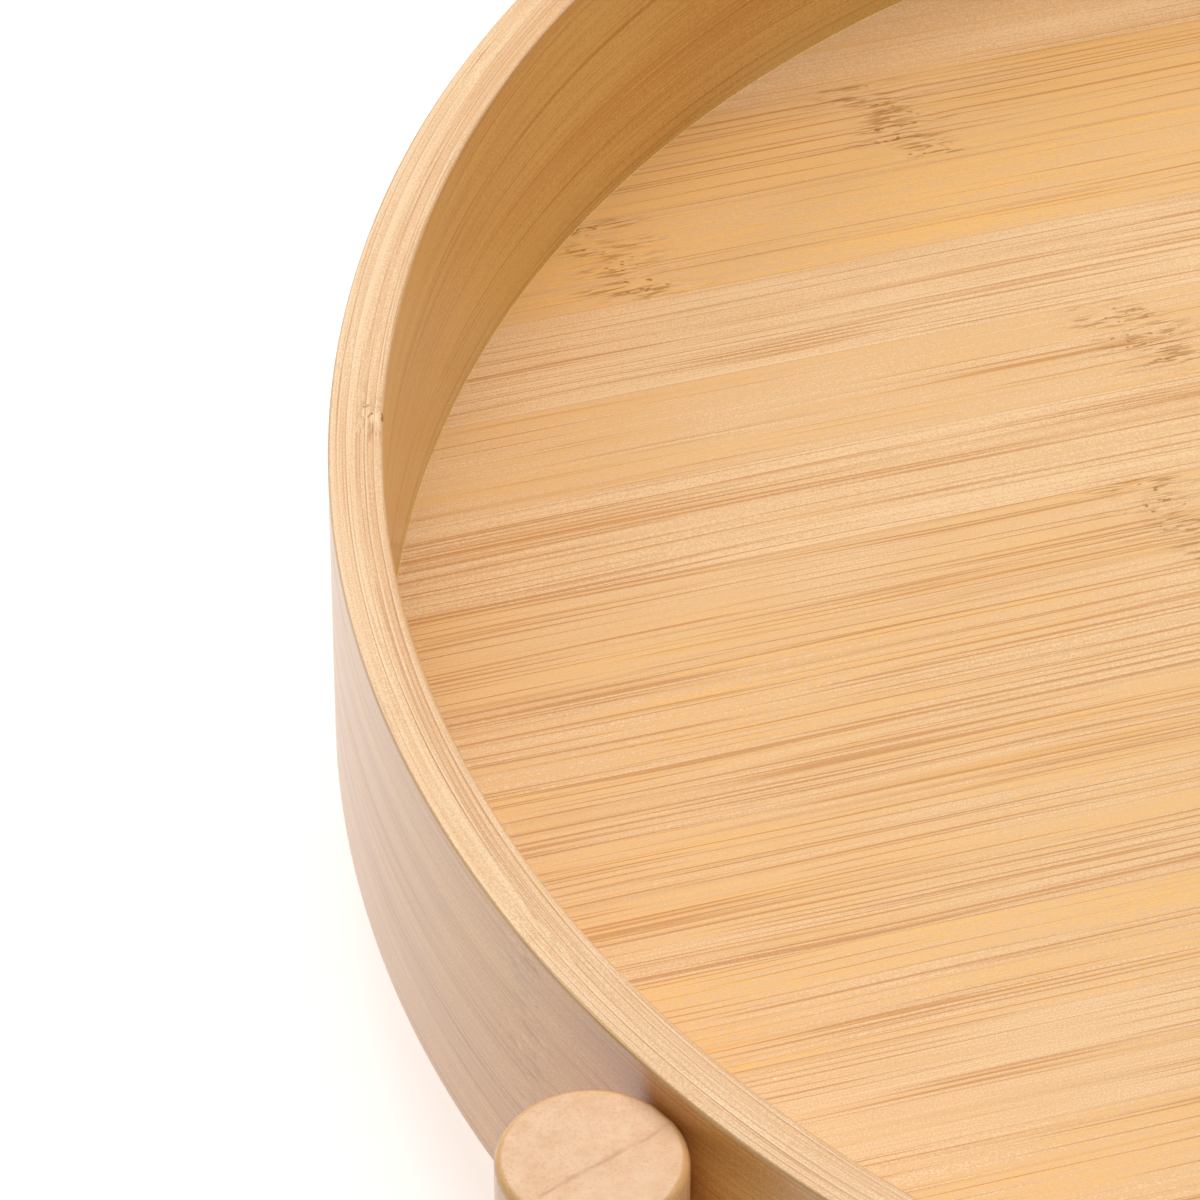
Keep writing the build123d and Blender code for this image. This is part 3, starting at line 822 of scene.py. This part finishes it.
def hoop_places():
    """Each profile place is turned to every angle. Radius gains a sum of slow sines of the angle, within
    0.05 mm. Height loses up to 0.03 mm in a narrow groove at each glue line, whose radius wavers with the
    angle."""
    profile = hoop_profile()
    angle = np.arange(HOOP_STEPS) * 2 * np.pi / HOOP_STEPS
    radius = np.repeat(profile[:, :1], HOOP_STEPS, axis=1)
    height = np.repeat(profile[:, 1:], HOOP_STEPS, axis=1)
    waves = np.sin(5 * angle + 0.4) + 0.6 * np.sin(11 * angle + 2.1) + 0.4 * np.sin(23 * angle + 4.0)
    lift = (height - RIM_FOOT) / (RIM_TOP - RIM_FOOT)
    depth = TRAY_R - radius
    ply = depth / PLY
    waver = 0.12 * MM * np.sin(9 * angle + 3 * ply) + 0.06 * MM * np.sin(31 * angle + 5 * ply)
    count = (depth + waver) / PLY
    from_line = np.abs(count - np.round(count)) * PLY
    strength = 0.5 + 0.5 * np.sin(3 * angle + 2.4 * np.round(count))
    groove = 0.03 * MM * strength * np.exp(-((from_line / (0.14 * MM)) ** 2))
    inside = (depth > RIM_EDGE) & (depth < RIM_WALL - RIM_EDGE) & (height > (RIM_TOP + RIM_FOOT) / 2)
    height = height - np.where(inside, groove, 0)
    radius = radius + 0.02 * MM * waves * lift
    return np.stack([radius * np.cos(angle), radius * np.sin(angle), height], axis=-1)


hoop_mesh = plain_mesh("bent_rim", *grid_shape(hoop_places(), ring_rows=True))
print("rim hoop:", len(hoop_mesh.polygons), "faces")

# %% [markdown]
# ## Screw holes in the rim
# Each post is held by two countersunk screws driven from inside the rim. A cutter with the shape of the
# hole, a short straight mouth, a cone and a shank, is swept at every screw and taken away from the hoop
# with one Boolean. The edges it leaves are marked sharp so that the wall around them still shades as one
# smooth curve.

# %% Shape: screw holes
MOUTH_R, SHANK_R = 3.8 * MM, 2.05 * MM
MOUTH_DEPTH, CONE_DEPTH = 0.3 * MM, 1.75 * MM
SCREW_PITCH = 20 * MM


def screw_bores():
    """Lathes the half profile (distance from the screw's line, distance out along it) round the line,
    then turns it to each post's bearing and lifts it to each screw's height."""
    start, end = RIM_INNER_R - 1 * MM, TRAY_R + 0.6 * MM
    mouth = RIM_INNER_R + MOUTH_DEPTH
    across = np.array([0, MOUTH_R, MOUTH_R, SHANK_R, SHANK_R, 0])
    out = np.array([start, start, mouth, mouth + CONE_DEPTH, end, end])
    turn = np.arange(48) * 2 * np.pi / 48
    side = across[:, None] * np.cos(turn)
    lift = across[:, None] * np.sin(turn)
    middle = (FLOOR_TOP + RIM_TOP) / 2
    bores = []
    for name in posts:
        post_low, post_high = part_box(name)
        centre = (post_low + post_high) / 2
        ray = np.array([centre.x, centre.y]) / math.hypot(centre.x, centre.y)
        for height in (middle - SCREW_PITCH / 2, middle + SCREW_PITCH / 2):
            x = out[:, None] * ray[0] - side * ray[1]
            y = out[:, None] * ray[1] + side * ray[0]
            bores.append(np.stack([x, y, lift + height], axis=-1))
    return bores


def cut_screw_holes(mesh):
    """Joins all the cutters in one mesh, each one's faces counted on from the last one's places, takes
    them away from the hoop, and gives back the cut mesh."""
    scene = bpy.context.scene.collection.objects
    points, faces, count = [], [], 0
    for places in screw_bores():
        bore, face_arrays = grid_shape(places, ring_rows=False)
        points.append(bore)
        faces += [array + count for array in face_arrays]
        count += len(bore)
    tool = bpy.data.objects.new("bores", plain_mesh("bores", np.vstack(points), faces))
    body = bpy.data.objects.new("uncut", mesh)
    scene.link(tool)
    scene.link(body)
    cut = body.modifiers.new("holes", "BOOLEAN")
    cut.operation, cut.solver, cut.object = "DIFFERENCE", "EXACT", tool
    result = bpy.data.meshes.new_from_object(body.evaluated_get(bpy.context.evaluated_depsgraph_get()))
    bpy.data.objects.remove(body)
    bpy.data.objects.remove(tool)
    result.name = "bent_rim_drilled"
    result.shade_smooth()
    result.set_sharp_from_angle(angle=math.radians(40))
    return result


drilled = cut_screw_holes(hoop_mesh)
new_piece("bent_rim", drilled, "bamboo_hoop", "tray", "rim_hoop")
print("drilled rim:", len(drilled.polygons), "faces")

# %% [markdown]
# ## Grip posts
# Each post is a dowel with softly rounded ends. The side that meets the rim is hollowed to the rim's own
# curve, so the post beds on it without a gap. The outline is therefore worked out as a radius for every
# angle round the post, and the same outline, drawn in, makes the rounded ends and the flat caps.

# %% Shape: grip posts
POST_R = 12.7 * MM
POST_EDGE = 1.5 * MM
POST_SEAT = 0.15 * MM
POST_HOLLOW_R = TRAY_R + GLUE_LINE


def dowel_outline(turn, centre_r):
    """The smaller of the dowel's radius and the distance to the rim's circle, which by the cosine rule is
    -c cos t - sqrt(c² cos² t - c² + h²), where c is how far the dowel stands from the axis and h the
    hollow."""
    c, h = centre_r, POST_HOLLOW_R
    inward = np.minimum(np.cos(turn), 0) * c
    under = inward ** 2 - c ** 2 + h ** 2
    reach = -inward - np.sqrt(np.maximum(under, 0))
    return np.where(under > 0, np.minimum(POST_R, reach), POST_R)


def dowel_turns(centre_r):
    """Angles round the dowel, from its outward side, with one exactly on each corner of the hollow."""
    corner = math.acos((POST_HOLLOW_R ** 2 - centre_r ** 2 - POST_R ** 2) / (2 * centre_r * POST_R))
    return np.concatenate([np.linspace(-corner, corner, 105),
                           np.linspace(corner, 2 * np.pi - corner, 14)[1:-1]])


def dowel_places(centre_r, low, high):
    """Rows: bottom pole, flat cap, rounded edge, side, upper edge, cap, top pole. A cap row is a share of
    the drawn-in outline, and the edge rows draw the outline in along a quarter turn."""
    turn = dowel_turns(centre_r)
    outline = dowel_outline(turn, centre_r)
    caps = np.linspace(0, 1, 9)[:-1]
    bend = np.linspace(0, np.pi / 2, 9)
    sides = np.linspace(low + POST_EDGE, high - POST_EDGE, 10)[1:-1]
    radius = np.vstack([
        caps[:, None] * (outline - POST_EDGE),
        outline - POST_EDGE * (1 - np.sin(bend))[:, None],
        np.repeat(outline[None], len(sides), axis=0),
        outline - POST_EDGE * (1 - np.cos(bend))[:, None],
        caps[::-1, None] * (outline - POST_EDGE),
    ])
    height = np.concatenate([
        np.full(len(caps), low), low + POST_EDGE * (1 - np.cos(bend)), sides,
        high - POST_EDGE * (1 - np.sin(bend)), np.full(len(caps), high),
    ])
    return np.stack([radius * np.cos(turn), radius * np.sin(turn),
                     np.repeat(height[:, None], len(turn), axis=1)], axis=-1)


def make_post(name):
    """The post's shape is worked out on the x axis, then turned to the post's bearing. Each point also
    keeps its place from the post's own middle, as the attribute that the finish reads."""
    low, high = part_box(name)
    centre = (low + high) / 2
    bearing = math.atan2(centre.y, centre.x)
    outer_r = TRAY_R + GLUE_LINE + POST_R - POST_SEAT
    places = dowel_places(outer_r, low.z, high.z)
    mesh = plain_mesh(f"dowel_{name[-1]}", *grid_shape(places, ring_rows=False))
    local = np.empty(len(mesh.vertices) * 3)
    mesh.vertices.foreach_get("co", local)
    local = local.reshape(-1, 3)
    turned = around_post(local, bearing)
    kept = mesh.attributes.new("dowel_place", "FLOAT_VECTOR", "POINT")
    kept.data.foreach_set("vector", turned.ravel())
    middle = np.array([outer_r * math.cos(bearing), outer_r * math.sin(bearing), 0])
    mesh.vertices.foreach_set("co", (turned + middle).ravel())
    mesh.update()
    mesh.set_sharp_from_angle(angle=math.radians(50))
    new_piece(f"dowel_{name[-1]}", mesh, "bamboo_dowel", "tray", name)
    return outer_r


def around_post(places, bearing):
    """Turns places about the post's own line, so that its outward side faces away from the tray."""
    cos, sin = math.cos(bearing), math.sin(bearing)
    return places @ np.array([[cos, sin, 0], [-sin, cos, 0], [0, 0, 1]])


for name in posts:
    print(name, "stands", round(make_post(name) / MM, 2), "mm from the axis")

# %% [markdown]
# ## Base disc
# The base is a thicker pressed board of the same cane, cut round. Its rim shows the strips' ends and
# sides by turns, which the solid fibre pattern gives without further work. Each strip takes a random tone
# from its number.


# %% Finish: base disc
def finish_base():
    """A strip's random colour gives its tone (red), its joint's place (green) and its lines (blue)."""
    tree, shader, places = start_finish("bamboo_base")
    strips = use(tree, pressed_strips, {"Place": places, "Grain Turn": math.radians(34)})
    chance = add(tree, "ShaderNodeTexWhiteNoise", {"W": strips["Strip"]},
                 noise_dimensions="1D").outputs["Color"]
    red, green, blue = split(tree, chance)
    joint_at = mask(tree, green, 0, 1, -110 * MM, 110 * MM)
    along, _, through = split(tree, strips["Place"])
    scar = use(tree, cane_joint,
               {"Place": join(tree, minus(tree, along, joint_at), strips["Across"], through),
                "Reach": 8 * MM, "Seed": strips["Strip"]})
    bent = move(tree, "ADD", strips["Place"], scar["Nudge"])
    wood = use(tree, fibres,
               {"Place": bent, "Tone": mask(tree, red, 0, 1, 0.2, 0.8), "Lines": blue,
                "Seed": plus(tree, strips["Strip"], 31.0)})
    colour = blend(tree, scar["Dark"], wood["Colour"],
                   blend(tree, 1.0, wood["Colour"], JOINT_BROWN, "MULTIPLY"))
    colour = blend(tree, times(tree, strips["Seam"], 0.35), colour, paint(176, 118, 62))
    dress(tree, shader, colour, wood["Roughness"])
    lacquer(shader, 0.2, 0.35)
    relief(tree, shader, minus(tree, wood["Height"], times(tree, scar["Dark"], 0.5)), 0.05 * MM)


finish_base()

# %% [markdown]
# ## Bearing and hardware
# The races are aluminium turned on a lathe, so they carry fine rings about the axis. The screws and
# washers are zinc plated, with a patchy bluish film. The balls are ground and polished steel, with a few
# hairline marks. The cage is moulded nylon, milky and slightly blotchy, and the feet are matt black
# rubber with a fine tooth.


# %% Group: lathe rings
def make_lathe_rings():
    """Rings are a noise of the radius and the height, at two widths, with a faint smear."""
    tree, given, out = start_group("lathe_rings", [("Place", PLACE, (0, 0, 0))],
                                   [("Rings", NUMBER), ("Smear", NUMBER)])
    x, y, height = split(tree, given["Place"])
    from_axis = calc(tree, "SQRT", plus(tree, times(tree, x, x), times(tree, y, y)))
    line = join(tree, from_axis, height, 0.0)
    fine = noise(tree, line, (5200, 5200, 0), 1.0)
    wide = noise(tree, line, (900, 900, 0), 1.0)
    tree.links.new(plus(tree, times(tree, fine, 0.65), times(tree, wide, 0.35)), out["Rings"])
    tree.links.new(noise(tree, given["Place"], (35, 35, 35), 4.0, 0.6), out["Smear"])
    return tree


lathe_rings = make_lathe_rings()


# %% Finishes: metals
def finish_race():
    """Turned aluminium: the rings shade the colour a little and the roughness more."""
    tree, shader, places = start_finish("race_aluminium")
    rings = use(tree, lathe_rings, {"Place": places})
    colour = blend(tree, mask(tree, rings["Smear"], 0.3, 0.7), paint(196, 198, 201), paint(221, 222, 224))
    colour = blend(tree, mask(tree, rings["Rings"], 0.35, 0.65), colour, paint(208, 209, 212))
    rough = plus(tree, mask(tree, rings["Rings"], 0.3, 0.7, 0.26, 0.40),
                 mask(tree, rings["Smear"], 0.35, 0.7, 0.0, 0.12))
    dress(tree, shader, colour, rough)
    shader.inputs["Metallic"].default_value = 1.0
    relief(tree, shader, rings["Rings"], 0.012 * MM)


def finish_zinc():
    """Zinc plate: a patchy film from bluish to warm grey, with a fine grit."""
    tree, shader, places = start_finish("zinc_steel")
    film = noise(tree, places, (420, 420, 420), 4.0, 0.6)
    grit = noise(tree, places, (5200, 5200, 5200), 2.0)
    colour = blend(tree, mask(tree, film, 0.36, 0.64), paint(176, 182, 190), paint(212, 211, 204))
    dress(tree, shader, colour,
          plus(tree, mask(tree, film, 0.3, 0.7, 0.24, 0.40), mask(tree, grit, 0.3, 0.7, -0.03, 0.05)))
    shader.inputs["Metallic"].default_value = 1.0
    relief(tree, shader, plus(tree, film, times(tree, grit, 0.3)), 0.02 * MM)


def finish_ball_steel():
    """Polished steel: nearly a mirror, with a faint haze and a few hairlines."""
    tree, shader, places = start_finish("polished_steel")
    hairlines = mask(tree, noise(tree, places, (900, 9000, 2600), 1.0), 0.68, 0.76)
    haze = noise(tree, places, (700, 700, 700), 3.0)
    dress(tree, shader, blend(tree, mask(tree, haze, 0.3, 0.7), paint(205, 207, 210), paint(226, 227, 229)),
          plus(tree, mask(tree, haze, 0.3, 0.7, 0.08, 0.15), times(tree, hairlines, 0.2)))
    shader.inputs["Metallic"].default_value = 1.0
    relief(tree, shader, minus(tree, 1.0, hairlines), 0.004 * MM)


finish_race()
finish_zinc()
finish_ball_steel()


# %% Finishes: nylon and rubber
def finish_nylon():
    """Nylon: milky and blotchy, with the soft dimples of moulding."""
    tree, shader, places = start_finish("nylon")
    blotch = noise(tree, places, (180, 180, 180), 4.0)
    orange_peel = noise(tree, places, (1500, 1500, 1500), 2.0)
    dress(tree, shader,
          blend(tree, mask(tree, blotch, 0.3, 0.7), paint(228, 224, 212), paint(240, 237, 228)),
          mask(tree, orange_peel, 0.3, 0.7, 0.36, 0.48))
    shader.inputs["Subsurface Weight"].default_value = 0.15
    shader.inputs["Subsurface Scale"].default_value = 1 * MM
    relief(tree, shader, orange_peel, 0.02 * MM)


def finish_rubber():
    """Rubber: matt black with a pale bloom, a fine tooth and some dust."""
    tree, shader, places = start_finish("black_rubber")
    tooth = noise(tree, places, (2600, 2600, 2600), 3.0, 0.6)
    bloom = noise(tree, places, (90, 90, 90), 4.0, 0.6)
    specks = use(tree, dust, {"Place": places, "Amount": 0.3})["Specks"]
    colour = blend(tree, mask(tree, bloom, 0.4, 0.72), paint(34, 34, 35), paint(56, 55, 54))
    dress(tree, shader, blend(tree, times(tree, specks, 0.3), colour, paint(150, 146, 138)),
          plus(tree, mask(tree, tooth, 0.3, 0.7, 0.58, 0.72), mask(tree, bloom, 0.4, 0.7, 0.0, 0.1)))
    relief(tree, shader, tooth, 0.05 * MM)


finish_nylon()
finish_rubber()
print("finishes:", sorted(m.name for m in bpy.data.materials))
